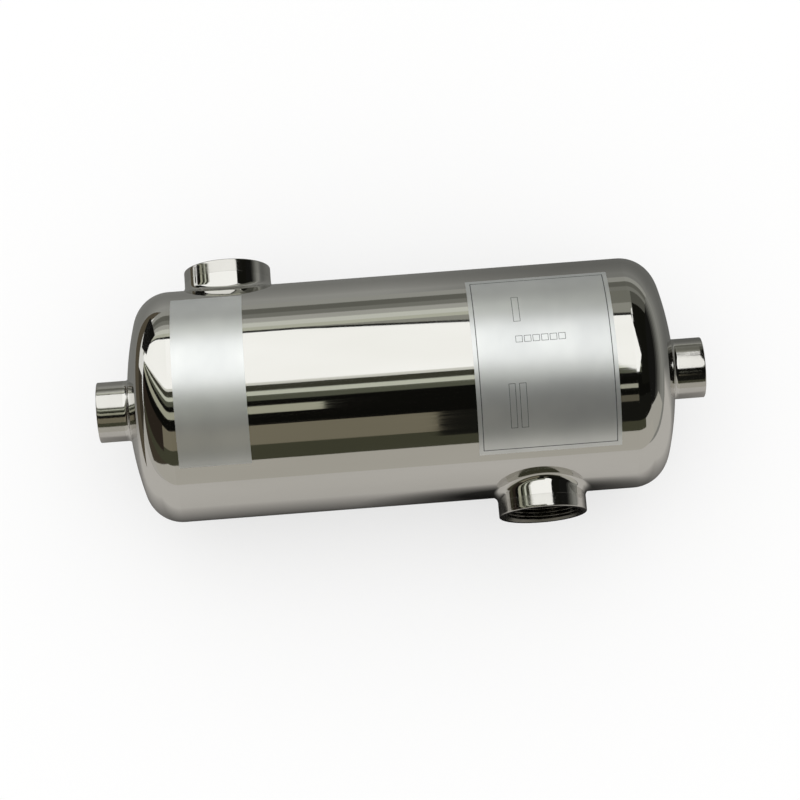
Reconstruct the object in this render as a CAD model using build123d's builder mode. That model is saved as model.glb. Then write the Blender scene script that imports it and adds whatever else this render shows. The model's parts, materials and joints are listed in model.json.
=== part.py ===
"""Shell and tube heat exchanger in polished stainless steel.

The vessel lies on its barrel: +X runs along the barrel, the two large threaded sockets point
along +Y and -Y, and the origin is under the middle of the barrel, on the surface that it lies on.
All lengths are in millimetres and all angles in degrees.
"""

import os
from math import asin, cos, degrees, radians, sin, sqrt

from build123d import *

# Barrel, a rolled and seam-welded tube between the two domed heads
shell_diameter = 145.0
shell_wall = 1.5
barrel_length = 282.4
seam_turn = 150.0  # where the round forms begin, from +Y downwards; picked for how their facets lie

# Domed heads, with a spherical crown and a toroidal knuckle
crown_radius = 195.0
knuckle_radius = 23.0

# Large threaded sockets on the side of the barrel, for the pool water
radial_socket_diameter = 54.8
radial_socket_bore = 44.8
radial_socket_reach = 14.0  # from the crown line of the barrel to the mouth
radial_socket_length = 23.0
radial_collar_height = 6.0  # neck pulled out of the barrel wall
radial_bend_radius = 4.5
rear_port_inset = 36.7  # from the left end of the barrel to the middle of the socket
front_port_inset = 59.2  # from the right end

# Small threaded sockets on the middle of the heads, for the boiler water
axial_socket_diameter = 38.0
axial_socket_bore = 30.3
axial_socket_reach = 19.0  # from the top of the crown to the mouth
axial_socket_length = 23.0
axial_collar_height = 2.4  # neck pulled out of the head, from the top of the crown
axial_bend_radius = 2.5

# Edges of the turned sockets
mouth_chamfer = 0.6
thread_entry_chamfer = 1.8
weld_groove_chamfer = 0.35

# Tube bundle on a triangular pitch
tube_diameter = 15.9
tube_wall = 0.9
tube_pitch = 24.0
ring_count = 2  # rings of tubes round the middle one
tube_projection = 2.0  # past the outer face of each tube sheet
tube_sheet_thickness = 5.0
tube_sheet_inset = 1.0  # from the end of the barrel
fit_clearance = 0.1  # radial, between pieces that are welded or expanded together

# Segmental baffles that turn the flow across the tubes
baffle_thickness = 2.0
baffle_bays = 3  # equal stretches of the bundle between the tube sheets
baffle_rim_clearance = 0.8
baffle_hole_clearance = 0.3

# Foil labels on the upper side of the barrel
label_thickness = 0.2
label_adhesive = 0.15  # between the barrel and the foil
rating_label_width = 87.0
rating_label_height = 122.5  # measured round the barrel
rating_label_inset = 10.7  # from the right end of the barrel
rating_label_turn = -2.0  # from the top towards +Y
notice_label_width = 44.0
notice_label_height = 120.5
notice_label_inset = 2.8  # from the left end of the barrel
notice_label_turn = 3.0

# Worked out from the sizes above
shell_radius = shell_diameter / 2
shell_inner_radius = shell_radius - shell_wall
axis_height = shell_radius
half_barrel = barrel_length / 2
rear_port_x = rear_port_inset - half_barrel
front_port_x = half_barrel - front_port_inset
knuckle_center_radius = shell_radius - knuckle_radius
crown_to_knuckle = crown_radius - knuckle_radius
head_depth = crown_radius - sqrt(crown_to_knuckle**2 - knuckle_center_radius**2)
crown_end = half_barrel + head_depth
crown_center = crown_end - crown_radius
tube_sheet_face = half_barrel - tube_sheet_inset
tube_half_length = tube_sheet_face + tube_projection
row_height = tube_pitch * sqrt(3) / 2
baffle_spacing = 2 * (tube_sheet_face - tube_sheet_thickness) / baffle_bays
rating_label_x = half_barrel - rating_label_inset - rating_label_width / 2
notice_label_x = notice_label_inset + notice_label_width / 2 - half_barrel
cut_overrun = shell_wall


def cross_plane(x, turn=0):
    """A plane across the barrel at x, with its own x along +Y or turned down from there."""
    tilt = radians(turn)
    return Plane(
        origin=(x, 0, axis_height), x_dir=(0, cos(tilt), -sin(tilt)), z_dir=(1, 0, 0)
    )


def port_plane(x, side):
    """A plane on the barrel's axis that looks out through the socket on the +Y or -Y side."""
    return Plane(origin=(x, 0, axis_height), x_dir=(1, 0, 0), z_dir=(0, side, 0))


def seam_plane(end):
    """A lengthwise plane on the long seam, with its own x pointing out of the left or right end."""
    tilt = radians(seam_turn)
    return Plane(
        origin=(0, 0, axis_height),
        x_dir=(end, 0, 0),
        z_dir=(0, end * sin(tilt), end * cos(tilt)),
    )


def end_plane(end):
    """A plane across the middle of the barrel that looks out through one of its ends."""
    return Plane(origin=(0, 0, axis_height), x_dir=(0, 1, 0), z_dir=(end, 0, 0))


port_planes = {
    "rear": port_plane(rear_port_x, 1),
    "front": port_plane(front_port_x, -1),
}
ends = {"left": -1, "right": 1}


def save(piece, name):
    """Labels a finished piece and writes it as its own file."""
    piece.label = name
    export_step(piece, f"parts/{name}.step")


def necked_cylinder(radius, length, neck_radius, neck_reach, bend_radius):
    """A solid cylinder along the barrel, with a neck at each side port blended into it."""
    with BuildPart() as form:
        with BuildSketch(cross_plane(-length / 2, seam_turn)):
            Circle(radius)
        extrude(amount=length)
        for plane in port_planes.values():
            with BuildSketch(plane):
                Circle(neck_radius)
            extrude(amount=neck_reach)
        saddle_edges = form.edges().filter_by(GeomType.BSPLINE)
        fillet(saddle_edges, radius=bend_radius)
    return form.part


def make_barrel():
    """The barrel wall, with the two necks pulled out of it for the side sockets."""
    collar_rim = shell_radius + radial_collar_height
    neck_radius = radial_socket_diameter / 2
    outer_form = necked_cylinder(
        shell_radius, barrel_length, neck_radius, collar_rim, radial_bend_radius
    )
    inner_form = necked_cylinder(
        shell_inner_radius,
        barrel_length + 2 * cut_overrun,
        neck_radius - shell_wall,
        collar_rim + cut_overrun,
        radial_bend_radius + shell_wall,
    )
    with BuildPart() as barrel:
        add(outer_form)
        add(inner_form, mode=Mode.SUBTRACT)
    return barrel.part


def make_head(end):
    """A domed head: knuckle, crown and the neck pulled out for the end socket, one thickness."""
    neck_radius = axial_socket_diameter / 2
    knuckle_angle = degrees(asin(knuckle_center_radius / crown_to_knuckle))
    bend_distance = crown_radius + axial_bend_radius
    bend_height = neck_radius + axial_bend_radius
    bend_angle = degrees(asin(bend_height / bend_distance))
    bend_center = (crown_center + sqrt(bend_distance**2 - bend_height**2), bend_height)
    with BuildPart() as head:
        with BuildSketch(seam_plane(end)):
            with BuildLine():
                CenterArc(
                    (half_barrel, knuckle_center_radius), knuckle_radius, 90, knuckle_angle - 90
                )
                CenterArc(
                    (crown_center, 0), crown_radius, knuckle_angle, bend_angle - knuckle_angle
                )
                CenterArc(bend_center, axial_bend_radius, 180 + bend_angle, 90 - bend_angle)
                Line(
                    (bend_center[0], neck_radius),
                    (crown_end + axial_collar_height, neck_radius),
                )
                offset(amount=shell_wall, side=Side.RIGHT)
            make_face()
        revolve(axis=Axis((0, 0, axis_height), (1, 0, 0)))
    return head.part


def make_socket(axis_plane, diameter, bore, seat, mouth, length, collar_wall):
    """A turned socket: a shoulder that seats on a pulled neck and a spigot that fits inside it."""
    seat_plane = axis_plane.offset(seat)
    mouth_plane = axis_plane.offset(mouth)
    spigot_radius = diameter / 2 - collar_wall - fit_clearance
    with BuildPart() as socket:
        with BuildSketch(seat_plane):
            Circle(diameter / 2)
        extrude(amount=mouth - seat)
        outer_edges = socket.edges().filter_by(GeomType.CIRCLE).sort_by(
            lambda edge: seat_plane.to_local_coords(edge.center()).Z
        )
        chamfer(outer_edges[0], length=weld_groove_chamfer)
        chamfer(outer_edges[-1], length=mouth_chamfer)
        with BuildSketch(mouth_plane):
            Circle(spigot_radius)
        extrude(amount=-length)
        with BuildSketch(mouth_plane):
            Circle(bore / 2)
        extrude(amount=-length, mode=Mode.SUBTRACT)
        mouth_edge = (
            socket.edges()
            .filter_by(GeomType.CIRCLE)
            .filter_by(lambda edge: edge.radius < spigot_radius)
            .sort_by(lambda edge: seat_plane.to_local_coords(edge.center()).Z)[-1]
        )
        chamfer(mouth_edge, length=thread_entry_chamfer)
    return socket.part


def tube_places():
    """Centres of the tubes across the bundle, row by row from the front of the barrel."""
    places = []
    for row in range(-ring_count, ring_count + 1):
        tubes_in_row = 2 * ring_count + 1 - abs(row)
        for place in range(tubes_in_row):
            sideways = (place - (tubes_in_row - 1) / 2) * tube_pitch
            places.append((row * row_height, sideways))
    return places


def make_tube(place):
    """One straight tube through both tube sheets."""
    with BuildPart() as tube:
        with BuildSketch(cross_plane(-tube_half_length)):
            with Locations(place):
                Circle(tube_diameter / 2)
                Circle(tube_diameter / 2 - tube_wall, mode=Mode.SUBTRACT)
        extrude(amount=2 * tube_half_length)
    return tube.part


def make_tube_sheet(end):
    """A drilled disc that closes one end of the barrel round the tubes."""
    with BuildPart() as sheet:
        with BuildSketch(end_plane(end).offset(tube_sheet_face)):
            Circle(shell_inner_radius - fit_clearance)
            with Locations(*[(place[0], end * place[1]) for place in tube_places()]):
                Circle(tube_diameter / 2 + fit_clearance, mode=Mode.SUBTRACT)
        extrude(amount=-tube_sheet_thickness)
    return sheet.part


def make_baffle(x, open_side):
    """A drilled disc with a window cut off it on the +Y or -Y side, between two rows of tubes."""
    baffle_radius = shell_inner_radius - baffle_rim_clearance
    window_edge = (ring_count - 1 / 2) * row_height
    window_depth = baffle_radius - window_edge
    with BuildPart() as baffle:
        with BuildSketch(cross_plane(x - baffle_thickness / 2)):
            Circle(baffle_radius)
            with Locations((open_side * (window_edge + window_depth), 0)):
                Rectangle(2 * window_depth, 2 * baffle_radius, mode=Mode.SUBTRACT)
            with Locations(*[p for p in tube_places() if open_side * p[0] < window_edge]):
                Circle(tube_diameter / 2 + baffle_hole_clearance, mode=Mode.SUBTRACT)
        extrude(amount=baffle_thickness)
    return baffle.part


def make_label(x, width, height, turn):
    """A foil label bent round the upper side of the barrel."""
    back_radius = shell_radius + label_adhesive
    sweep = degrees(height / back_radius)
    start = 90 - turn - sweep / 2
    with BuildPart() as label:
        with BuildSketch(cross_plane(x - width / 2)):
            with BuildLine():
                outer_arc = CenterArc((0, 0), back_radius + label_thickness, start, sweep)
                inner_arc = CenterArc((0, 0), back_radius, start, sweep)
                Line(outer_arc @ 0, inner_arc @ 0)
                Line(outer_arc @ 1, inner_arc @ 1)
            make_face()
        extrude(amount=width)
    return label.part


os.makedirs("parts", exist_ok=True)

save(make_barrel(), "barrel")

for side, plane in port_planes.items():
    radial_socket = make_socket(
        plane,
        radial_socket_diameter,
        radial_socket_bore,
        shell_radius + radial_collar_height,
        shell_radius + radial_socket_reach,
        radial_socket_length,
        shell_wall,
    )
    save(radial_socket, f"{side}_radial_socket")

for side, end in ends.items():
    save(make_head(end), f"{side}_head")
    axial_socket = make_socket(
        end_plane(end),
        axial_socket_diameter,
        axial_socket_bore,
        crown_end + axial_collar_height,
        crown_end + axial_socket_reach,
        axial_socket_length,
        shell_wall,
    )
    save(axial_socket, f"{side}_axial_socket")
    save(make_tube_sheet(end), f"{side}_tube_sheet")
    save(make_baffle(end * baffle_spacing / 2, end), f"{side}_baffle")

for number, place in enumerate(tube_places(), start=1):
    save(make_tube(place), f"tube_{number:02d}")

rating_label = make_label(
    rating_label_x, rating_label_width, rating_label_height, rating_label_turn
)
save(rating_label, "rating_label")

notice_label = make_label(
    notice_label_x, notice_label_width, notice_label_height, notice_label_turn
)
save(notice_label, "notice_label")
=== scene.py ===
import json
from math import asin, cos, pi, radians, sin, sqrt

import bpy
import numpy as np
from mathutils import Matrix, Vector


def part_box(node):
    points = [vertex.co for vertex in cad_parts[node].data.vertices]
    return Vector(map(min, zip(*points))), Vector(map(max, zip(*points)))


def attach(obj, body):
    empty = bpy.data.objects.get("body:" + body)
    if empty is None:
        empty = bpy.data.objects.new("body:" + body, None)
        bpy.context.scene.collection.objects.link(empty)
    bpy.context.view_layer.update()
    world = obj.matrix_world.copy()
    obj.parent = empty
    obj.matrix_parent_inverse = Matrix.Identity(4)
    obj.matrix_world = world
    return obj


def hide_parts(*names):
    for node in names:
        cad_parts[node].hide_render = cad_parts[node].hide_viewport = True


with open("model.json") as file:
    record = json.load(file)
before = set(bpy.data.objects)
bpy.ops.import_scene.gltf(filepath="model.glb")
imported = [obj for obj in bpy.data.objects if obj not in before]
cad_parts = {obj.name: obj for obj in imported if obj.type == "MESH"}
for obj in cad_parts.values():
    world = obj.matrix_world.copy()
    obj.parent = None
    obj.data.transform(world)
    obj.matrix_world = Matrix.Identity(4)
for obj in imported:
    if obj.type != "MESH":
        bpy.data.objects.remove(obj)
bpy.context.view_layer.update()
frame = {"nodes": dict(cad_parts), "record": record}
mm = 0.001
mounts = {mount["name"]: mount for mount in frame["record"]["mounts"]}
axisHeight = mounts["right_port"]["pos_m"][2]
shellRadius = axisHeight  # the barrel lies on the floor
shellWall = 1.5 * mm
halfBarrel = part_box("barrel")[1].x
axisPoint = np.array((0.0, 0.0, axisHeight))
columns = 180  # steps round the barrel and the heads, shared so that they meet
creaseAngle = radians(30)
scene = bpy.context.scene
print("frame loaded:", len(frame["nodes"]), "nodes")


# Grids and pieces

def gridIndex(points):
    # Vertex numbers of a grid of points, row by row
    return np.arange(points[..., 0].size).reshape(points.shape[:-1])


def gridQuads(index, wrapRows=False, wrapColumns=False):
    # Quads between neighbouring rows and columns of a grid of vertex numbers;
    # the face looks along column direction x row direction
    if wrapRows:
        index = np.vstack([index, index[:1]])
    if wrapColumns:
        index = np.hstack([index, index[:, :1]])
    corners = [index[:-1, :-1], index[:-1, 1:], index[1:, 1:], index[1:, :-1]]
    return np.stack(corners, -1).reshape(-1, 4)


def rimQuads(outerLoop, innerLoop):
    # Quads of the narrow rim between matching closed loops of an outer and an inner skin
    corners = [np.roll(outerLoop, -1), outerLoop, innerLoop, np.roll(innerLoop, -1)]
    return np.stack(corners, -1)


def fullTurn(count):
    # Equal steps of a full turn, without its end
    return np.arange(count) * 2 * pi / count


def aroundBarrel(x, turn, radius):
    # Points at one distance from the barrel's axis, by length along it and turn from the
    # rear upwards
    return np.stack([x, radius * np.cos(turn), axisHeight + radius * np.sin(turn)], -1)


def turned(along, radius, origin, axis, angles):
    # A profile turned about an axis: each point stands out from its place along the axis
    # by its radius, at every angle from the vertical
    upright = np.array((0.0, 0.0, 1.0))
    sideways = np.cross(axis, upright)
    spoke = np.cos(angles)[:, None] * upright + np.sin(angles)[:, None] * sideways
    return origin + along[..., None] * axis + radius[..., None] * spoke


def smoothObject(name, points, quads, finishes):
    # A smooth object in the scene, from whole arrays of points and quads
    mesh = bpy.data.meshes.new(name)
    mesh.from_pydata(points.reshape(-1, 3).tolist(), [], quads.tolist())
    for finish in finishes:
        mesh.materials.append(finish)
    mesh.shade_smooth()
    made = bpy.data.objects.new(name, mesh)
    scene.collection.objects.link(made)
    return made


def makePiece(name, points, quads, finishes, standsFor, finishOfFace=None):
    # A piece of the part, creased where its faces meet at more than the crease angle
    piece = smoothObject(name, points, quads, finishes)
    if finishOfFace is not None:
        piece.data.polygons.foreach_set("material_index", finishOfFace)
    piece.data.set_sharp_from_angle(angle=creaseAngle)
    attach(piece, "root")
    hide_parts(*standsFor)
    return piece


# Finishes

noise = {"usual": (0.35, 0.65), "fineDetail": 3.0, "slowDetail": 2.0}
lineHeight = 0.05 * mm  # of the drawn lines in steel, at full strength


def addNode(tree, kind, inputs=None, **settings):
    # Adds a node, sets its options, and feeds each input from a socket or a constant
    node = tree.nodes.new(kind)
    for option, value in settings.items():
        setattr(node, option, value)
    for place, value in (inputs or {}).items():
        if isinstance(value, bpy.types.NodeSocket):
            tree.links.new(value, node.inputs[place])
        else:
            node.inputs[place].default_value = value
    return node


def mathNode(tree, operation, first, second=0.0):
    # The result of an operation on one value or two
    return addNode(tree, "ShaderNodeMath", {0: first, 1: second}, operation=operation).outputs[0]


def vectorLength(tree, parts):
    # Length of the vector whose parts are given by their places: 0, 1 and 2
    vector = addNode(tree, "ShaderNodeCombineXYZ", parts).outputs[0]
    return addNode(tree, "ShaderNodeVectorMath", {0: vector}, operation="LENGTH").outputs["Value"]


def newFinish(name, metallic, roughness):
    # A new material, with its node tree and its shader
    material = bpy.data.materials.new(name)
    material.use_nodes = True
    shader = material.node_tree.nodes["Principled BSDF"]
    shader.inputs["Metallic"].default_value = metallic
    shader.inputs["Roughness"].default_value = roughness
    return material, material.node_tree, shader


def objectPlace(tree):
    # The three parts of a point's place on its object
    place = addNode(tree, "ShaderNodeTexCoord").outputs["Object"]
    return addNode(tree, "ShaderNodeSeparateXYZ", {0: place}).outputs


def barrelPlace(tree):
    # Length along the barrel, distance round it, and distance out from its axis
    x, y, z = objectPlace(tree)
    lift = mathNode(tree, "SUBTRACT", z, axisHeight)
    turn = mathNode(tree, "ARCTAN2", y, lift)
    girth = mathNode(tree, "MULTIPLY", turn, shellRadius)
    return x, girth, vectorLength(tree, {1: y, 2: lift})


def stretchedNoise(tree, place, scales, detail):
    # Noise on a place whose three parts are each scaled, so that it draws out into lines
    scaled = {part: mathNode(tree, "MULTIPLY", place[part], scales[part]) for part in range(3)}
    vector = addNode(tree, "ShaderNodeCombineXYZ", scaled).outputs[0]
    inputs = {"Vector": vector, "Scale": 1.0, "Detail": detail}
    return addNode(tree, "ShaderNodeTexNoise", inputs).outputs["Fac"]


def ranged(tree, value, low, high, fromLow=noise["usual"][0], fromHigh=noise["usual"][1]):
    # A value carried from one range to another, and held at both ends
    inputs = {"Value": value, 1: fromLow, 2: fromHigh, 3: low, 4: high}
    return addNode(tree, "ShaderNodeMapRange", inputs).outputs[0]


def mixedColour(tree, share, first, second):
    # A colour between two, by a share
    inputs = {0: share, 6: (*first, 1.0), 7: (*second, 1.0)}
    return addNode(tree, "ShaderNodeMix", inputs, data_type="RGBA").outputs[2]


def addRelief(tree, shader, height, strength, distance):
    # Relief in the shading alone, for marks too fine for the mesh
    relief = {"Height": height, "Strength": strength, "Distance": distance}
    bump = addNode(tree, "ShaderNodeBump", relief)
    tree.links.new(bump.outputs["Normal"], shader.inputs["Normal"])


def steelFinish(name, look, place):
    # Metal with fine drawn-out lines in its roughness and relief, and a slow drift in its colour
    material, tree, shader = newFinish(name, 1.0, look["roughness"][0])
    parts = place(tree)
    lines = stretchedNoise(tree, parts, look["lines"], noise["fineDetail"])
    drift = stretchedNoise(tree, parts, look["drift"], noise["slowDetail"])
    tree.links.new(ranged(tree, lines, *look["roughness"]), shader.inputs["Roughness"])
    colour = mixedColour(tree, ranged(tree, drift, 0.0, 1.0), *look["colours"])
    tree.links.new(colour, shader.inputs["Base Color"])
    addRelief(tree, shader, lines, look["relief"], lineHeight)
    return material


barrelLook = {
    "lines": (9.0, 900.0, 0.0),  # per metre along, round and out from the axis
    "drift": (7.0, 30.0, 0.0),
    "roughness": (0.03, 0.07),
    "relief": 0.02,
    "colours": ((0.66, 0.655, 0.63), (0.69, 0.685, 0.665)),
}
# the same polish, with its lines round the axis
headLook = {**barrelLook, "lines": (900.0, 12.0, 900.0), "drift": (30.0, 12.0, 30.0)}
socketLook = {
    "lines": (1500.0, 1500.0, 8.0),  # turned round the axis, which lies along x or y
    "drift": (40.0, 40.0, 40.0),
    "roughness": (0.06, 0.14),
    "relief": 0.05,
    "colours": ((0.60, 0.59, 0.567), (0.63, 0.625, 0.60)),
}
# the bore's threads: steel darkened well below its own colour, a painted shade for the dim inside of the
# bore
shadedThreadLook = {
    "lines": (300.0, 300.0, 300.0),
    "drift": (60.0, 60.0, 60.0),
    "roughness": (0.22, 0.34),
    "relief": 0.1,
    "colours": ((0.15, 0.147, 0.13), (0.22, 0.215, 0.195)),
}
tubeLook = {
    "lines": (14.0, 900.0, 900.0),
    "drift": (10.0, 60.0, 60.0),
    "roughness": (0.2, 0.34),
    "relief": 0.08,
    "colours": ((0.50, 0.49, 0.47), (0.58, 0.57, 0.55)),
}
plateLook = {
    "lines": (0.0, 8.0, 1400.0),
    "drift": (20.0, 25.0, 25.0),
    "roughness": (0.26, 0.42),
    "relief": 0.12,
    "colours": ((0.46, 0.45, 0.43), (0.54, 0.53, 0.51)),
}
barrelSteel = steelFinish("barrelSteel", barrelLook, barrelPlace)
headSteel = steelFinish("headSteel", headLook, barrelPlace)
socketSteel = steelFinish("socketSteel", socketLook, objectPlace)
threadSteel = steelFinish("threadSteel", shadedThreadLook, objectPlace)
tubeSteel = steelFinish("tubeSteel", tubeLook, objectPlace)
plateSteel = steelFinish("plateSteel", plateLook, barrelPlace)
print("steel finishes made")


# Barrel, with its two pulled necks

barrel = {
    "neckRadius": (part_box("rear_radial_socket")[1].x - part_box("rear_radial_socket")[0].x) / 2,
    "neckRim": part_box("barrel")[1].y,  # from the barrel's axis
    "neckBend": 4.5 * mm,
    "rimEase": 0.03 * mm,
    "innerRimEase": 0.05 * mm,
    "patch": 34 * mm,  # half the square round a port that its own rings fill
    "patchTurn": radians(30),  # the same square, round the barrel
    "cell": 2.5 * mm,
    "wallRings": 5,
    "bendRings": 10,
    "patchRings": 9,
    "patchSpread": 1.5,  # power that packs the patch's rings towards the neck
}
waves = {
    "depth": 0.02 * mm,
    "terms": 7,
    "alongPerMetre": 150.0,
    "slowest": 0.2,  # share of that pace
    "roundLeast": 2,
    "roundMost": 16,
    "seed": 5,
}


def shellWave(points):
    # Slight waviness of a polished wall: the mean of a few crossed sines, all of it inwards
    chance = np.random.default_rng(waves["seed"])
    x = points[..., 0]
    turn = np.arctan2(points[..., 1], points[..., 2] - axisHeight)
    total = np.zeros_like(x)
    for term in range(waves["terms"]):
        pace = waves["alongPerMetre"] * chance.uniform(waves["slowest"], 1.0)
        count = chance.integers(waves["roundLeast"], waves["roundMost"])
        start, lead = chance.uniform(0, 2 * pi, 2)
        total += 1 + np.sin(pace * x + start) * np.sin(count * turn + lead)
    return waves["depth"] * total / (2 * waves["terms"])


def waved(points):
    # Points moved towards the barrel's axis by the wave at their place
    spoke = (points - axisPoint) * (0, 1, 1)
    spoke /= np.linalg.norm(spoke, axis=-1, keepdims=True)
    return points - spoke * shellWave(points)[..., None]


def neckRings(edge, portX, side, radius, neckRadius, rim, ease, bend):
    # Rings from the rim of a neck down its wall, round the bend that a ball would roll
    # between neck and barrel, and over the barrel to the square edge, which is unrolled flat
    edgeX = edge[:, 0] - portX
    edgeRound = radius * np.arcsin((edge[:, 2] - axisHeight) / radius)
    turn = np.arctan2(edgeRound, edgeX)
    across, up = np.cos(turn), np.sin(turn)
    ballX = (neckRadius + bend) * across
    ballZ = (neckRadius + bend) * up
    ballY = np.sqrt((radius + bend) ** 2 - ballZ**2)
    still = np.zeros_like(turn)

    drop = np.linspace(0, 1, barrel["wallRings"])[:, None]
    wallTop = rim - ease
    wallY = wallTop + (ballY - wallTop) * drop
    wall = np.stack(np.broadcast_arrays(neckRadius * across, wallY, neckRadius * up), -1)
    lipRadius = neckRadius - ease
    lip = np.stack([lipRadius * across, still + rim, lipRadius * up], -1)

    toNeck = np.stack([-across, still, -up], -1)
    toBarrel = np.stack([still, -ballY, -ballZ], -1) / (radius + bend)
    sweep = np.arccos(np.sum(toNeck * toBarrel, -1))[:, None]
    share = np.linspace(0, 1, barrel["bendRings"])[1:, None, None]
    reach = np.sin((1 - share) * sweep) * toNeck + np.sin(share * sweep) * toBarrel
    bendPoints = np.stack([ballX, ballY, ballZ], -1) + bend * (reach / np.sin(sweep))

    share = np.linspace(0, 1, barrel["patchRings"])[1:, None] ** barrel["patchSpread"]
    flatX = ballX + (edgeX - ballX) * share
    startRound = radius * np.arcsin(ballZ / (radius + bend))
    flatTurn = (startRound + (edgeRound - startRound) * share) / radius
    flat = np.stack([flatX, radius * np.cos(flatTurn), radius * np.sin(flatTurn)], -1)

    rings = np.concatenate([lip[None], wall, bendPoints, flat])
    return rings * (1, side, 1) + (portX, 0, axisHeight)


def barrelSkin(inset, rimEase):
    # One skin of the barrel: a grid of length and turn with a square left out at each port,
    # and the port's rings sewn into that square
    radius = shellRadius - inset
    rear, front = (mounts[port]["pos_m"][0] for port in ("rear_port", "front_port"))
    stops = [-halfBarrel, rear - barrel["patch"], rear + barrel["patch"]]
    stops += [front - barrel["patch"], front + barrel["patch"], halfBarrel]
    runs = []
    for start, end in zip(stops, stops[1:]):
        runs.append(np.linspace(start, end, round((end - start) / barrel["cell"]) + 1))
    x = np.concatenate([runs[0]] + [run[1:] for run in runs[1:]])
    turn = -barrel["patchTurn"] + fullTurn(columns)
    grid = aroundBarrel(*np.meshgrid(x, turn, indexing="ij"), radius)
    index = gridIndex(grid)
    points = grid.reshape(-1, 3)
    whole = np.hstack([index, index[:, :1]])
    kept = np.ones((len(x) - 1, columns), bool)
    patchColumns = round(2 * barrel["patchTurn"] / (2 * pi) * columns)
    quads, rims, allPoints, count = [], [], [points], len(points)
    for portX, side, firstColumn in ((rear, 1, 0), (front, -1, columns // 2)):
        first = np.argmin(abs(x - (portX - barrel["patch"])))
        last = np.argmin(abs(x - (portX + barrel["patch"])))
        left, right = firstColumn, firstColumn + patchColumns
        kept[first:last, left:right] = False
        loop = np.concatenate([
            whole[first:last, left], whole[last, left:right],
            whole[last:first:-1, right], whole[first, right:left:-1],
        ])
        rings = neckRings(
            points[loop], portX, side, radius, barrel["neckRadius"] - inset, barrel["neckRim"],
            rimEase, barrel["neckBend"] + inset,
        )
        own = rings[:-1]
        ringIndex = np.vstack([count + gridIndex(own), loop])
        allPoints.append(own.reshape(-1, 3))
        count += own[..., 0].size
        quads.append(gridQuads(ringIndex, wrapColumns=True))
        rims.append(ringIndex[0])
    quads.append(gridQuads(index, wrapColumns=True)[kept.ravel()])
    rims += [index[0], index[-1, ::-1]]
    return np.concatenate(allPoints), np.concatenate(quads), rims


outerPoints, outerQuads, outerRims = barrelSkin(0.0, barrel["rimEase"])
innerPoints, innerQuads, innerRims = barrelSkin(shellWall, barrel["innerRimEase"])
innerStart = len(outerPoints)
barrelQuads = [outerQuads, innerQuads[:, ::-1] + innerStart]
for outerRim, innerRim in zip(outerRims, innerRims):
    barrelQuads.append(rimQuads(outerRim, innerRim + innerStart))
barrelPoints = np.concatenate([waved(outerPoints), innerPoints])
used, barrelQuads = np.unique(np.concatenate(barrelQuads), return_inverse=True)
barrelQuads = barrelQuads.reshape(-1, 4)
makePiece("barrelShell", barrelPoints[used], barrelQuads, [barrelSteel], ["barrel"])
print("barrel made:", len(barrelQuads), "quads")


# Domed heads

head = {
    "crownRadius": 195 * mm,
    "knuckleRadius": 23 * mm,
    "neckRadius": (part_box("right_axial_socket")[1].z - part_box("right_axial_socket")[0].z) / 2,
    "neckRim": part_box("right_head")[1].x,
    "neckBend": 2.5 * mm,
    "rimEase": 0.03 * mm,
    "knuckleSteps": 22,
    "crownSteps": 30,
    "bendSteps": 8,
    "neckSteps": 3,
    "firstStep": radians(0.2),
}


def headProfile(inset, ease):
    # Profile from the barrel outwards: a quarter knuckle, a spherical crown, a hollow bend
    # and the neck's straight wall, each arc given by its centre, radius and two angles
    knuckleRing = shellRadius - head["knuckleRadius"]
    crownToKnuckle = head["crownRadius"] - head["knuckleRadius"]
    crownCentre = halfBarrel - sqrt(crownToKnuckle**2 - knuckleRing**2)
    knuckleAngle = asin(knuckleRing / crownToKnuckle)
    bendDistance = head["crownRadius"] + head["neckBend"]
    bendRing = head["neckRadius"] + head["neckBend"]
    bendAngle = asin(bendRing / bendDistance)
    bendCentre = crownCentre + bendDistance * cos(bendAngle)

    def arc(centreX, centreR, radius, angles):
        return np.stack([centreX + radius * np.cos(angles), centreR + radius * np.sin(angles)], -1)

    knuckleTurn = np.linspace(pi / 2 - head["firstStep"], knuckleAngle, head["knuckleSteps"])
    knuckleTurn = np.concatenate([[pi / 2], knuckleTurn])
    crownTurn = np.linspace(knuckleAngle, bendAngle, head["crownSteps"])[1:]
    bendTurn = np.linspace(pi + bendAngle, 3 * pi / 2, head["bendSteps"])[1:]
    neck = head["neckRadius"] - inset
    neckRun = np.linspace(bendCentre, head["neckRim"] - ease, head["neckSteps"])[1:]
    return np.concatenate([
        arc(halfBarrel, knuckleRing, head["knuckleRadius"] - inset, knuckleTurn),
        arc(crownCentre, 0.0, head["crownRadius"] - inset, crownTurn),
        arc(bendCentre, bendRing, head["neckBend"] + inset, bendTurn),
        np.stack([neckRun, np.full_like(neckRun, neck)], -1),
        [[head["neckRim"], neck - ease]],
    ])


def makeHead(name, end, standsFor):
    # The outer profile out to the rim and the inner one back, turned about the barrel's axis
    outer = headProfile(0.0, head["rimEase"])
    inner = headProfile(shellWall, 0.0)[:-1]
    profile = np.concatenate([outer, inner[::-1]])
    axis = np.array((end, 0.0, 0.0))
    points = turned(profile[:, :1], profile[:, 1:], axisPoint, axis, fullTurn(columns))
    points[: len(outer)] = waved(points[: len(outer)])
    quads = gridQuads(gridIndex(points), True, True)
    return makePiece(name, points, quads, [headSteel], [standsFor])


makeHead("leftHeadDome", -1.0, "left_head")
makeHead("rightHeadDome", 1.0, "right_head")
print("heads made")


# Threaded sockets

socket = {
    "fitGap": 0.1 * mm,
    "groove": 0.03 * mm,
    "mouthEase": 0.6 * mm,
    "easeSteps": 6,
    "wallSteps": 8,
    "threadEntry": 1.8 * mm,
    "threadPitch": 25.4 / 11 * mm,
    "threadDepth": 1.479 * mm,
    "stepsPerTurn": 12,
    "columns": 144,
}


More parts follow.
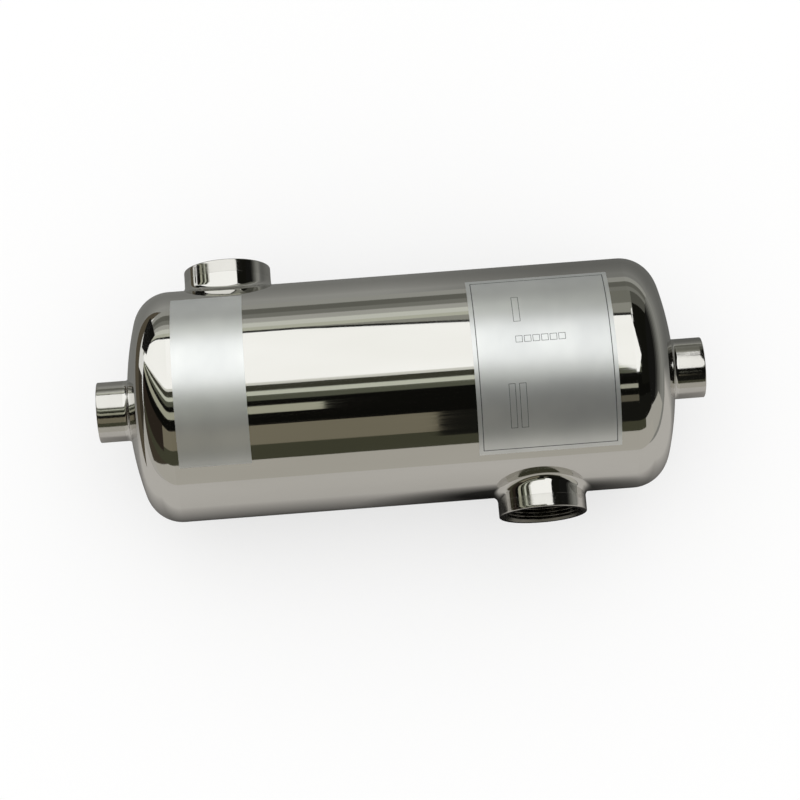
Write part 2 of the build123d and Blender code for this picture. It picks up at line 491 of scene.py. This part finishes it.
def makeSocket(name, mount, seat, standsFor):
    # A turned profile: spigot, shoulder, groove, outer wall, eased mouth, then the bore, whose
    # radius follows a helix of rounded threads that the entry chamfer cuts away at the mouth
    axis = np.array(mount["axis"], float)
    low, high = (np.array(corner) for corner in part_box(standsFor))
    innerEnd, mouth = sorted(float(np.dot(corner - axisPoint, axis)) for corner in (low, high))
    outer = (high[2] - low[2]) / 2
    bore = mount["dims"]["r_mm"] * mm
    spigot = outer - shellWall - socket["fitGap"]
    ease = socket["mouthEase"]
    entry = bore + socket["threadEntry"]
    turn = np.linspace(0, pi / 2, socket["easeSteps"])
    easeArc = np.stack([mouth - ease + ease * np.sin(turn), outer - ease + ease * np.cos(turn)], -1)
    wallRun = np.linspace(seat + socket["groove"], mouth - ease, socket["wallSteps"])[:-1]
    outside = np.concatenate([
        [[innerEnd, spigot], [seat, spigot], [seat, outer - socket["groove"]]],
        np.stack([wallRun, np.full_like(wallRun, outer)], -1),
        easeArc,
    ])
    steps = round((mouth - innerEnd) / socket["threadPitch"] * socket["stepsPerTurn"])
    depth = np.linspace(0, mouth - innerEnd, steps)[:, None]
    angles = fullTurn(socket["columns"])
    phase = depth / socket["threadPitch"] + angles / (2 * pi)
    thread = bore + socket["threadDepth"] * (0.5 - 0.5 * np.cos(2 * pi * phase))
    boreRadius = np.maximum(thread, entry - depth)
    flat = np.zeros((1, socket["columns"]))
    along = np.concatenate([outside[:, :1] + flat, mouth - depth + flat])
    radius = np.concatenate([outside[:, 1:] + flat, boreRadius])
    origin = axisPoint + np.array(mount["pos_m"]) * (1 - abs(axis)) * (1, 1, 0)
    points = turned(along, radius, origin, axis, angles)
    quads = gridQuads(gridIndex(points), True, True)
    rowOfFace = np.repeat(np.arange(len(along)), socket["columns"])
    inBore = (rowOfFace >= len(outside)).astype(int)
    finishes = [socketSteel, threadSteel]
    return makePiece(name, points, quads, finishes, [standsFor], inBore)


makeSocket("rearSocket", mounts["rear_port"], barrel["neckRim"], "rear_radial_socket")
makeSocket("frontSocket", mounts["front_port"], barrel["neckRim"], "front_radial_socket")
makeSocket("leftSocket", mounts["left_port"], head["neckRim"], "left_axial_socket")
makeSocket("rightSocket", mounts["right_port"], head["neckRim"], "right_axial_socket")
print("sockets made")


# Tube bundle, seen through the ports

tubes = {"wall": 0.9 * mm, "endEase": 0.25 * mm, "columns": 48, "runs": 12}


def makeTube(name, standsFor):
    # A round wall: out along the outside, over an eased end and back along the inside
    low, high = (np.array(corner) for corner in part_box(standsFor))
    middle = (low + high) / 2
    outer = (high[1] - low[1]) / 2
    inner = outer - tubes["wall"]
    half = high[0]
    ease = tubes["endEase"]
    run = np.linspace(ease - half, half - ease, tubes["runs"])
    outside = np.stack([run, np.full_like(run, outer)], -1)
    inside = np.stack([run[::-1], np.full_like(run, inner)], -1)
    rightEnd = [[half, outer - ease], [half, inner + ease]]
    leftEnd = [[-half, inner + ease], [-half, outer - ease]]
    profile = np.concatenate([outside, rightEnd, inside, leftEnd])
    origin = np.array((0.0, middle[1], middle[2]))
    axis = np.array((1.0, 0.0, 0.0))
    points = turned(profile[:, :1], profile[:, 1:], origin, axis, fullTurn(tubes["columns"]))
    quads = gridQuads(gridIndex(points), True, True)
    return makePiece(name, points, quads, [tubeSteel], [standsFor])


tubeNodes = sorted(node for node in frame["nodes"] if node.startswith("tube_"))
for node in tubeNodes:
    makeTube("bundle" + node.replace("_", "").capitalize(), node)
for node in ("left_tube_sheet", "right_tube_sheet", "left_baffle", "right_baffle"):
    plate = frame["nodes"][node]
    plate.data.materials.clear()
    plate.data.materials.append(plateSteel)
print("tube bundle made:", len(tubeNodes), "tubes")


# Foil labels

labelFoil = {
    "gap": 0.15 * mm,
    "thickness": 0.18 * mm,
    "cell": 3 * mm,
    "colours": ((0.765, 0.785, 0.79), (0.83, 0.85, 0.85)),
    "ink": (0.035, 0.036, 0.042),
    "metallic": 0.9,
    "roughness": (0.31, 0.39),
    "grain": (3.0, 0.05, 0.0),  # per millimetre across and down
    "cloud": (0.04, 0.03, 0.0),
    "relief": 0.03,
    "reliefHeight": 0.02 * mm,
}
checkRow = {"first": 28.6, "step": 5.22, "count": 6, "down": 50.3, "half": 2.0, "line": 0.3}
ratingLabel = {
    "height": 122.5 * mm,  # round the barrel
    "turn": radians(-2),  # its middle, from the top towards the rear
    # ruled boxes: middle and half size across and down the label, and line width, in millimetres
    "boxes": [
        (43.5, 61.25, 40.7, 58.0, 0.5),
        (28.5, 29.0, 2.0, 9.3, 0.3), (22.0, 91.2, 1.9, 13.7, 0.3), (28.5, 91.2, 2.0, 13.7, 0.3),
    ],
}
for number in range(checkRow["count"]):
    across = checkRow["first"] + number * checkRow["step"]
    square = (across, checkRow["down"], checkRow["half"], checkRow["half"], checkRow["line"])
    ratingLabel["boxes"].append(square)
noticeLabel = {"height": 120.5 * mm, "turn": radians(3), "boxes": []}


def boxInk(tree, across, down, box):
    # Ink where the distance to a box's outline is under half the line's width
    middleAcross, middleDown, halfAcross, halfDown, line = box
    awayAcross = mathNode(tree, "ABSOLUTE", mathNode(tree, "SUBTRACT", across, middleAcross))
    awayDown = mathNode(tree, "ABSOLUTE", mathNode(tree, "SUBTRACT", down, middleDown))
    pastAcross = mathNode(tree, "SUBTRACT", awayAcross, halfAcross)
    pastDown = mathNode(tree, "SUBTRACT", awayDown, halfDown)
    outline = mathNode(tree, "ABSOLUTE", mathNode(tree, "MAXIMUM", pastAcross, pastDown))
    return mathNode(tree, "LESS_THAN", outline, line / 2)


def labelFinish(name, label):
    # Satin foil with a faint vertical grain, and ruled boxes drawn from the label's own map
    metallic = labelFoil["metallic"]
    material, tree, shader = newFinish(name, metallic, labelFoil["roughness"][0])
    chart = addNode(tree, "ShaderNodeUVMap", uv_map="labelMap").outputs[0]
    parts = addNode(tree, "ShaderNodeSeparateXYZ", {0: chart}).outputs
    grain = stretchedNoise(tree, parts, labelFoil["grain"], noise["fineDetail"])
    cloud = stretchedNoise(tree, parts, labelFoil["cloud"], noise["slowDetail"])
    colour = mixedColour(tree, ranged(tree, cloud, 0.0, 1.0), *labelFoil["colours"])
    roughness = ranged(tree, grain, *labelFoil["roughness"])
    inks = [boxInk(tree, parts[0], parts[1], box) for box in label["boxes"]]
    if inks:
        ink = inks[0]
        for other in inks[1:]:
            ink = mathNode(tree, "MAXIMUM", ink, other)
        inked = {0: ink, 6: colour, 7: (*labelFoil["ink"], 1.0)}
        colour = addNode(tree, "ShaderNodeMix", inked, data_type="RGBA").outputs[2]
        metal = mathNode(tree, "SUBTRACT", metallic, mathNode(tree, "MULTIPLY", ink, metallic))
        tree.links.new(metal, shader.inputs["Metallic"])
    tree.links.new(colour, shader.inputs["Base Color"])
    tree.links.new(roughness, shader.inputs["Roughness"])
    addRelief(tree, shader, grain, labelFoil["relief"], labelFoil["reliefHeight"])
    return material


def makeLabel(name, label, standsFor):
    # A thin sheet bent round the barrel: length along the barrel by distance round it,
    # with a chart in millimetres from its rear left corner
    low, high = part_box(standsFor)
    back = shellRadius + labelFoil["gap"]
    face = back + labelFoil["thickness"]
    sweep = label["height"] / back
    middle = pi / 2 - label["turn"]
    x = np.linspace(low.x, high.x, round((high.x - low.x) / labelFoil["cell"]) + 1)
    turnSteps = round(label["height"] / labelFoil["cell"]) + 1
    turn = middle + np.linspace(-sweep / 2, sweep / 2, turnSteps)
    xGrid, turnGrid = np.meshgrid(x, turn, indexing="ij")
    points = np.stack([aroundBarrel(xGrid, turnGrid, radius) for radius in (face, back)])
    index = gridIndex(points[0])
    loop = np.concatenate([index[0, :-1], index[:-1, -1], index[-1, :0:-1], index[:0:-1, 0]])
    front = gridQuads(index)
    quads = np.concatenate([front, front[:, ::-1] + index.size, rimQuads(loop, loop + index.size)])
    piece = makePiece(name, points, quads, [labelFinish(name + "Foil", label)], [standsFor])
    chart = np.stack([(xGrid - low.x) / mm, (turnGrid - turn[0]) * back / mm], -1).reshape(-1, 2)
    chart = np.concatenate([chart, chart])
    layer = piece.data.uv_layers.new(name="labelMap")
    layer.data.foreach_set("uv", chart[quads.ravel()].ravel().astype(np.float32))
    return piece


makeLabel("ratingLabel", ratingLabel, "rating_label")
makeLabel("noticeLabel", noticeLabel, "notice_label")
print("labels made")


# Studio: paper floor, soft light, and boards and cards for the polished steel to mirror

farLeft, farRight = -12.0, 1.05  # ends of the arch of cards along the barrel
over, under, backing = -0.01, 0.01, 0.03  # how far a card lies behind the arch
white = (1.28, 1.28, 1.25)
black = (0.008, 0.008, 0.006)
deepBlack = (0.005, 0.005, 0.004)
edgeBlack = (0.02, 0.02, 0.018)
darkOlive = (0.063, 0.063, 0.04)
warmGrey = (0.47, 0.455, 0.41)
studio = {
    "floorHalf": 12.0,
    "floorColour": (0.94, 0.94, 0.935),
    "floorLift": 0.6,
    "paperRoughness": 0.9,
    "softBox": {"height": 1.6, "size": 1.6, "power": 3.0},
    "air": {"colour": (1.0, 1.0, 1.0, 1.0), "strength": 1.0},
    "cardDistance": 1.0,
    "cardPlaces": (
        farLeft, -6, -3, -2, -1.5, -1.1, -0.85, -0.7, -0.58, -0.48, -0.4, -0.33, -0.25, -0.15, 0, farRight,
    ),
    "angleSteps": 17,
    "cornerSteps": 9,
    "swing": {"from": -0.33, "slope": 0.55, "ease": 0.1, "none": radians(-94), "full": radians(-20)},
    "tableHalf": (1.0, 3.0, 0.0),
    "tableHeight": 0.2 * mm,
    "tableColours": ((0.33, 0.33, 0.31), (0.54, 0.52, 0.49)),  # behind and in front of the barrel
    "tableBlend": 0.03,  # half the band between those colours
    "shadeHalf": 0.08,  # half the length along the barrel whose shade is straight
    # painted shade, dark to full, between two distances from the middle, in front of the barrel and behind
    # it
    "contactShades": ((0.15, 1.0, 0.065, 0.165), (0.66, 1.0, 0.19, 0.5)),
    "rightShade": (1.0, 0.68, 0.0, 0.12),  # painted shade behind the barrel, darker towards the right
    # a painted shadow under the front port
    "spot": {"middle": (0.074, -0.1), "squeeze": 0.65, "shade": (0.08, 1.0, 0.025, 0.07)},
}
# strips of an arch over the barrel: angles from straight up, towards the rear when above 0;
# some give their four corners as places along the barrel and angles
cards = [
    {"from": 3.0, "to": 55.0, "colour": white, "ends": (farLeft, -0.08)},
    {"corners": ((-0.08, 3.0), (0.56, 3.0), (0.38, 22.0), (-0.08, 22.0)), "colour": white},
    {"corners": ((-0.08, 22.0), (0.38, 22.0), (0.27, 42.0), (-0.08, 55.0)), "colour": white},
    {"corners": ((0.25, -13.5), (0.38, -13.5), (0.56, 3.0), (0.2, 3.0)), "colour": white, "behind": over},
    {"from": 36.0, "to": 51.0, "colour": white, "ends": (0.3, 0.326), "behind": over},
    {"from": 55.0, "to": 57.5, "colour": edgeBlack, "ends": (farLeft, -0.08)},
    {"corners": ((-0.08, 55.0), (0.27, 42.0), (0.28, 44.5), (-0.08, 57.5)), "colour": edgeBlack},
    {"corners": ((-0.08, 57.5), (0.28, 44.5), (0.34, 44.5), (0.34, 57.5)), "colour": (0.32, 0.32, 0.28)},
    {"from": 3.0, "to": 57.5, "colour": black, "ends": (0.2, farRight), "behind": under},
    {"from": -94.0, "to": 94.0, "colour": (0.1, 0.1, 0.085), "behind": backing},
    {"from": 57.5, "to": 73.0, "colour": (0.2, 0.2, 0.17), "ends": (0.18, 0.34), "behind": over},
    {"from": 57.5, "to": 61.5, "colour": (0.56, 0.57, 0.47), "ends": (farLeft, 0.34)},
    {"from": 61.5, "to": 67.0, "colour": (0.68, 0.69, 0.62), "ends": (farLeft, 0.34)},
    {"from": 67.0, "to": 73.0, "colour": (0.45, 0.45, 0.41), "ends": (farLeft, 0.34)},
    {"from": 73.0, "to": 79.0, "colour": (0.22, 0.22, 0.195)},
    {"from": 79.0, "to": 86.5, "colour": (0.145, 0.145, 0.125)},
    {"from": 86.5, "to": 94.2, "colour": (0.36, 0.36, 0.33)},
    {"from": 0.5, "to": 3.0, "colour": (0.8, 0.8, 0.73), "ends": (farLeft, 0.5)},
    {"from": -5.0, "to": 0.5, "colour": (0.05, 0.05, 0.035), "ends": (farLeft, 0.5)},
    {"from": -9.0, "to": -5.0, "colour": (0.64, 0.66, 0.55), "ends": (farLeft, 0.5)},
    {"from": -14.0, "to": -9.0, "colour": (0.1, 0.105, 0.075), "ends": (farLeft, 0.5)},
    {"from": -26.0, "to": 3.0, "colour": black, "ends": (0.5, farRight)},
    {"from": -19.0, "to": -14.0, "colour": deepBlack, "ends": (farLeft, 0.5)},
    {"from": -26.0, "to": -19.0, "colour": (0.43, 0.43, 0.33), "ends": (farLeft, -0.06)},
    {"from": -26.0, "to": -19.0, "colour": deepBlack, "ends": (-0.06, 0.5)},
    {"from": -28.5, "to": -24.5, "colour": (0.42, 0.42, 0.34), "ends": (0.18, 0.29), "behind": over},
    {"from": -41.0, "to": -35.0, "colour": (0.12, 0.11, 0.08), "ends": (0.18, 0.3), "behind": over},
    {"from": -37.0, "to": -26.0, "colour": deepBlack},
    {"from": -61.0, "to": -37.0, "colour": (0.01, 0.01, 0.008), "ends": (0.05, farRight)},
    {"from": -56.0, "to": -37.0, "colour": (0.21, 0.19, 0.135), "ends": (farLeft, 0.05)},
    {"from": -61.0, "to": -56.0, "colour": darkOlive, "ends": (farLeft, 0.05)},
    {"from": -71.5, "to": -61.0, "colour": darkOlive},
    {"from": -61.0, "to": -36.0, "colour": (0.03, 0.023, 0.017), "ends": (farLeft, -0.62), "behind": over},
    {
        "corners": ((0.57, -71.5), (farRight, -71.5), (farRight, -55.0), (0.57, -61.5)),
        "colour": warmGrey,
        "behind": over,
    },
    {
        "corners": ((-1.6, -94.2), (farRight, -94.2), (farRight, -71.5), (-0.5, -71.5)),
        "colour": (0.49, 0.47, 0.42),
    },
    {"from": -94.2, "to": -71.5, "colour": (0.06, 0.05, 0.035), "ends": (farLeft, -0.4), "behind": under},
]
# the wall past the right end: a dark board, and below it steps of grey down to the floor
wall = {
    "x": 1.06,
    "half": 1.2,
    "darkFrom": 0.5,
    "darkHeight": 0.7,
    "dark": (0.01, 0.01, 0.009),
    "step": 0.1,
    "greys": (
        (0.04, 0.04, 0.036), (0.1, 0.1, 0.09), (0.17, 0.17, 0.155), (0.25, 0.25, 0.23), (0.29, 0.29, 0.27),
    ),
}
wallAcross = (0, 2 * wall["half"], 0)
leftRun = (11.4, 0, 0)
lowLayer, midLayer, topLayer = 0.4 * mm, 0.5 * mm, 0.6 * mm  # boards that lie one over another
# upright or lying boards: a corner and two edges from it, in metres
boards = [
    {
        "corner": (wall["x"], -wall["half"], wall["darkFrom"]),
        "edges": (wallAcross, (0, 0, wall["darkHeight"])),
        "colour": wall["dark"],
    },
]
for number, grey in enumerate(wall["greys"], start=1):
    corner = (wall["x"], -wall["half"], wall["darkFrom"] - number * wall["step"])
    boards.append({"corner": corner, "edges": (wallAcross, (0, 0, wall["step"])), "colour": grey})
boards += [
    {"corner": (0.65, -1.2, midLayer), "edges": ((0.41, 0, 0), (0, 2.4, 0)), "colour": (0.26, 0.26, 0.24)},
    {"corner": (1.055, -0.3, 0.3), "edges": ((0, -0.9, 0.65), (0, 0, -1.3)), "colour": warmGrey},
    {"corner": (farLeft, -0.1, lowLayer), "edges": (leftRun, (0, 4.0, 0)), "colour": (0.05, 0.042, 0.03)},
    {
        "corner": (farLeft, 4.0, topLayer),
        "edges": ((leftRun[0], -3.8, 0), (0, 3.0, 0)),
        "colour": (0.95, 0.95, 0.92),
    },
    {"corner": (farLeft, -3.0, midLayer), "edges": (leftRun, (0, 2.9, 0)), "colour": (0.5, 0.485, 0.45)},
    {"corner": (-0.6, -0.1, midLayer), "edges": ((0.27, 0, 0), (0, 1.1, 0)), "colour": (0.1, 0.085, 0.06)},
    {"corner": (-0.85, 0.5, 0.0), "edges": ((0.44, 0, 0), (0, 0, 0.3)), "colour": (0.008, 0.008, 0.007)},
]


def stagePiece(name, points, quads, finish):
    # A piece of the studio, which is no part of the object
    piece = smoothObject(name, points, quads, [finish])
    return piece


def paperFinish(name):
    # Paper with no shine of its own
    material, tree, shader = newFinish(name, 0.0, studio["paperRoughness"])
    shader.inputs["Specular IOR Level"].default_value = 0.0
    return material, tree, shader


def cardFinish(name, colour):
    # A card that glows evenly in one colour
    material = bpy.data.materials.new(name)
    material.use_nodes = True
    tree = material.node_tree
    tree.nodes.clear()
    glow = addNode(tree, "ShaderNodeEmission", {"Color": (*colour, 1.0), "Strength": 1.0})
    addNode(tree, "ShaderNodeOutputMaterial", {"Surface": glow.outputs[0]})
    return material


def mirrorOnly(piece):
    # Keeps a piece out of sight, apart from what the steel mirrors
    piece.visible_camera = False
    piece.visible_diffuse = False
    piece.visible_transmission = False
    piece.visible_shadow = False
    return piece


def swungBack(x, angle):
    # Distance that the arch swings towards the rear on the left: a hyperbola in the distance
    # past a bend, times a share that fades out towards the front
    swing = studio["swing"]
    past = swing["from"] - x
    share = np.clip((angle - swing["none"]) / (swing["full"] - swing["none"]), 0, 1)
    return share * swing["slope"] * (past + np.sqrt(past**2 + swing["ease"] ** 2)) / 2


def makeCard(name, card):
    # A patch of a wide arch over the barrel: a grid of places along the barrel and angles, or
    # four corners blended across and up, wrapped round the arch and swung back on the left
    if "corners" in card:
        first, second, third, fourth = (np.array(corner) for corner in card["corners"])
        steps = np.linspace(0, 1, studio["cornerSteps"])
        across = steps[None, :, None]
        up = steps[:, None, None]
        lower = first + across * (second - first)
        upper = fourth + across * (third - fourth)
        chart = (1 - up) * lower + up * upper
        x, angle = chart[..., 0], np.radians(chart[..., 1])
    else:
        places = np.unique(np.clip(studio["cardPlaces"], *card.get("ends", (farLeft, farRight))))
        angles = np.linspace(card["from"], card["to"], studio["angleSteps"])
        x, angle = np.meshgrid(places, np.radians(angles))
    distance = studio["cardDistance"] + card.get("behind", 0.0)
    y = distance * np.sin(angle) + swungBack(x, angle)
    points = np.stack([x, y, axisHeight + distance * np.cos(angle)], -1)
    finish = cardFinish(name + "Paint", card["colour"])
    return mirrorOnly(stagePiece(name, points, gridQuads(gridIndex(points)), finish))


oneQuad = np.array([(0, 1, 2, 3)])


def makeBoard(name, board):
    # A flat board: its corner plus shares of its two edges
    corner, first, second = (np.array(part, float) for part in (board["corner"], *board["edges"]))
    points = np.stack([corner, corner + first, corner + first + second, corner + second])
    finish = cardFinish(name + "Paint", board["colour"])
    return mirrorOnly(stagePiece(name, points, oneQuad, finish))


# the floor glows a little for the camera and in the steel, so that it reads as lit white paper
floorCorners = np.array([(-1.0, -1.0, 0.0), (1.0, -1.0, 0.0), (1.0, 1.0, 0.0), (-1.0, 1.0, 0.0)])
floorFinish, floorTree, floorShader = paperFinish("paperFloor")
floorShader.inputs["Base Color"].default_value = (*studio["floorColour"], 1.0)
path = addNode(floorTree, "ShaderNodeLightPath").outputs
seen = mathNode(floorTree, "ADD", path["Is Camera Ray"], path["Is Glossy Ray"])
seen = mathNode(floorTree, "ADD", seen, path["Is Transmission Ray"])
lift = mathNode(floorTree, "MULTIPLY", seen, studio["floorLift"])
glow = addNode(floorTree, "ShaderNodeEmission", {"Strength": 1.0})
lifted = {0: lift, 1: floorShader.outputs[0], 2: glow.outputs[0]}
blend = addNode(floorTree, "ShaderNodeMixShader", lifted)
floorTree.links.new(blend.outputs[0], floorTree.nodes["Material Output"].inputs["Surface"])
stagePiece("paperFloor", floorCorners * studio["floorHalf"], oneQuad, floorFinish)

# the table that the steel mirrors: two colours, with painted shade towards the barrel and a painted shadow
# under the front port
tableFinish, tableTree, tableShader = paperFinish("tableTop")
tableX, tableY = objectPlace(tableTree)[:2]
towardsFront = ranged(tableTree, tableY, 1.0, 0.0, -studio["tableBlend"], studio["tableBlend"])
tableColour = mixedColour(tableTree, towardsFront, *studio["tableColours"])
alongTable = mathNode(tableTree, "ABSOLUTE", tableX)
pastEnd = mathNode(tableTree, "SUBTRACT", alongTable, studio["shadeHalf"])
away = mathNode(tableTree, "MAXIMUM", mathNode(tableTree, "ABSOLUTE", tableY), pastEnd)
frontShade, rearShade = (ranged(tableTree, away, *shade) for shade in studio["contactShades"])
rightShade = ranged(tableTree, tableX, *studio["rightShade"])
rearShade = mathNode(tableTree, "MULTIPLY", rearShade, rightShade)
shade = addNode(tableTree, "ShaderNodeMix", {0: towardsFront, 2: rearShade, 3: frontShade}).outputs[0]
spot = studio["spot"]
alongPortShadow = mathNode(tableTree, "SUBTRACT", tableX, spot["middle"][0])
alongPortShadow = mathNode(tableTree, "MULTIPLY", alongPortShadow, spot["squeeze"])
acrossPortShadow = mathNode(tableTree, "SUBTRACT", tableY, spot["middle"][1])
fromPortShadow = vectorLength(tableTree, {0: alongPortShadow, 1: acrossPortShadow})
shade = mathNode(tableTree, "MULTIPLY", shade, ranged(tableTree, fromPortShadow, *spot["shade"]))
shaded = {0: 1.0, 6: tableColour, 7: shade}
shaded = addNode(tableTree, "ShaderNodeMix", shaded, data_type="RGBA", blend_type="MULTIPLY")
tableTree.links.new(shaded.outputs[2], tableShader.inputs["Base Color"])
tableCorners = floorCorners * studio["tableHalf"] + (0.0, 0.0, studio["tableHeight"])
mirrorOnly(stagePiece("tableTop", tableCorners, oneQuad, tableFinish))
for number, card in enumerate(cards, start=1):
    makeCard(f"archCard{number:02d}", card)
for number, board in enumerate(boards, start=1):
    makeBoard(f"endBoard{number}", board)

box = studio["softBox"]
lamp = bpy.data.lights.new("softBox", "AREA")
lamp.size = box["size"]
lamp.energy = box["power"]
lampObject = bpy.data.objects.new("softBox", lamp)
lampObject.location = (0.0, 0.0, box["height"])
lampObject.visible_camera = False
lampObject.visible_glossy = False
scene.collection.objects.link(lampObject)

world = bpy.data.worlds.new("studioAir")
world.use_nodes = True
air = world.node_tree.nodes["Background"]
air.inputs["Color"].default_value = studio["air"]["colour"]
air.inputs["Strength"].default_value = studio["air"]["strength"]
scene.world = world

view = {
    "azimuth": radians(-4.48),
    "elevation": radians(76.19),
    "distance": 1.6,
    "lens": 114.25,
    "sensor": 36.0,
    "shift": (-0.0014, -0.0125),
}
back = Vector((
    sin(view["azimuth"]) * cos(view["elevation"]),
    -cos(view["azimuth"]) * cos(view["elevation"]),
    sin(view["elevation"]),
))
camera = bpy.data.objects.new("camera", bpy.data.cameras.new("camera"))
camera.location = Vector(axisPoint) + view["distance"] * back
camera.rotation_mode = "QUATERNION"
camera.rotation_quaternion = (-back).to_track_quat("-Z", "Y")
camera.data.lens = view["lens"]
camera.data.sensor_width = view["sensor"]
camera.data.shift_x, camera.data.shift_y = view["shift"]
scene.collection.objects.link(camera)
scene.camera = camera
scene.view_settings.view_transform = "Standard"
print("studio made")
